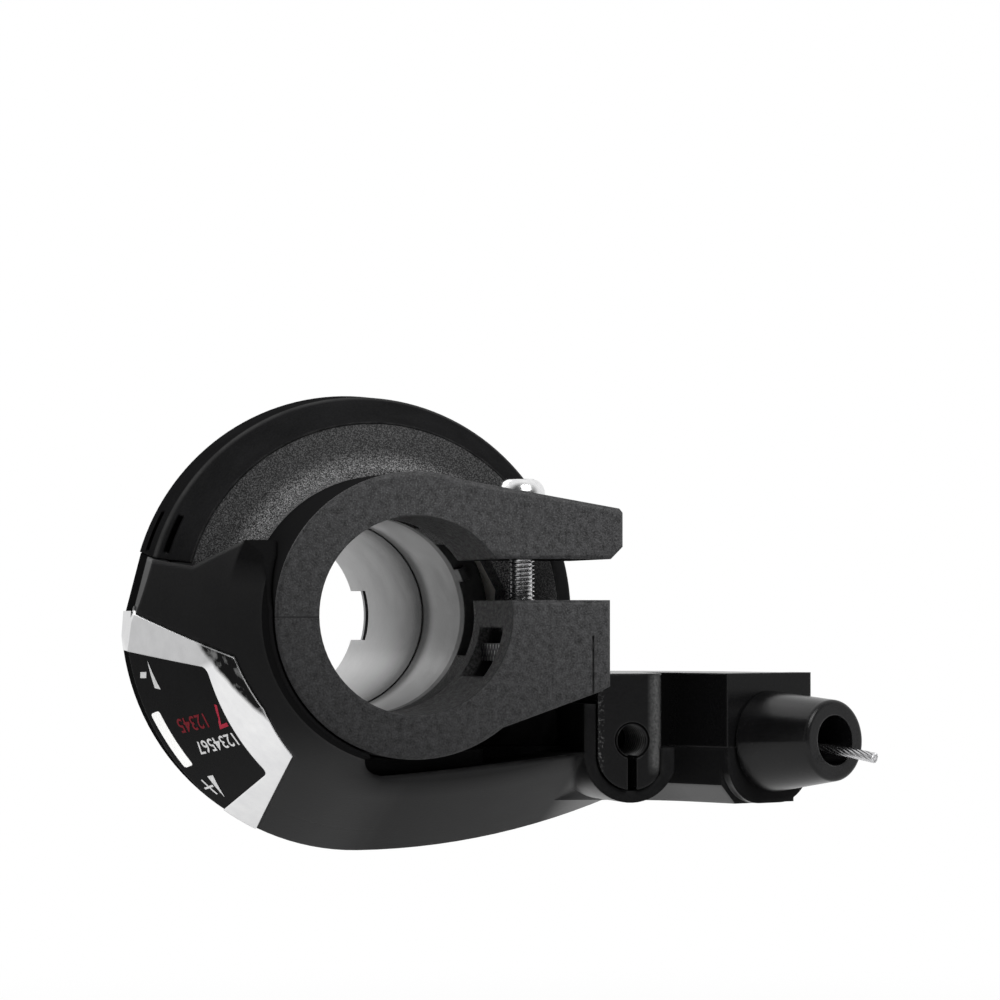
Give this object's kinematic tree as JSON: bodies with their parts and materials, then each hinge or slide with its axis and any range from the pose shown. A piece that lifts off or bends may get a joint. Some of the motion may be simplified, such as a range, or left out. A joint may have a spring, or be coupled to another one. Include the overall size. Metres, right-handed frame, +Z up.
{
  "type": "twist grip shifter",
  "caption": "Twist grip gear shifter: split bar clamp, flared display cover with chrome bezel, cable arm with a tapered spout, and a fluted rubber grip turning on a sleeve.",
  "frame": {"origin": "centre of the handlebar bore on the clamp's inboard face", "axes": "+Y along the handlebar from the clamp to the grip's end, +Z up and +X to the clamp's jaws as pictured"},
  "size_m": [0.0812, 0.0826, 0.0541],
  "materials": {
    "bracket_plastic": "glass-filled nylon with a fine moulded grain",
    "sleeve_plastic": "smooth acetal",
    "shroud_plastic": "smooth satin moulding",
    "cover_plastic": "satin gloss moulding",
    "bezel_chrome": "bright plated plastic",
    "panel_black": "printed gloss plate",
    "lens_milky": "milky diffusing lens",
    "bolt_steel": "bright zinc plated steel",
    "nut_steel": "dark plated steel with serrated edges",
    "spring_steel": "hard rolled spring strip",
    "washer_plastic": "smooth slide washer",
    "ring_steel": "phosphated spring steel",
    "liner_plastic": "low-friction tube",
    "nose_plastic": "smooth satin moulding",
    "wire_steel": "bright stranded steel",
    "core_plastic": "smooth moulded nylon",
    "grip_rubber": "fluted soft rubber",
    "nipple_metal": "cast end fitting",
    "indicator_white": "pale printed band"
  },
  "bodies": {
    "housing": {"clamp_bracket": "bracket_plastic", "bearing_sleeve": "sleeve_plastic", "drum_shroud": "shroud_plastic", "display_cover": "cover_plastic", "chrome_bezel": "bezel_chrome", "display_panel": "panel_black", "display_lens": "lens_milky", "clamp_bolt": "bolt_steel", "clamp_nut": "nut_steel", "detent_spring": "spring_steel", "thrust_washer": "washer_plastic", "end_washer": "washer_plastic", "retaining_ring": "ring_steel", "cable_liner": "liner_plastic", "cable_nose": "nose_plastic", "inner_wire": "wire_steel"},
    "grip": {"grip_core": "core_plastic", "grip_rubber": "grip_rubber", "cable_nipple": "nipple_metal", "indicator_band": "indicator_white"}
  },
  "joints": [
    {"name": "grip_twist", "type": "hinge", "parent": "housing", "child": "grip", "pos_m": [0, 0.05, 0], "axis": [0, 1, 0], "range_deg": [0, 66], "deforming": ["detent_spring", "inner_wire"]}
  ]
}
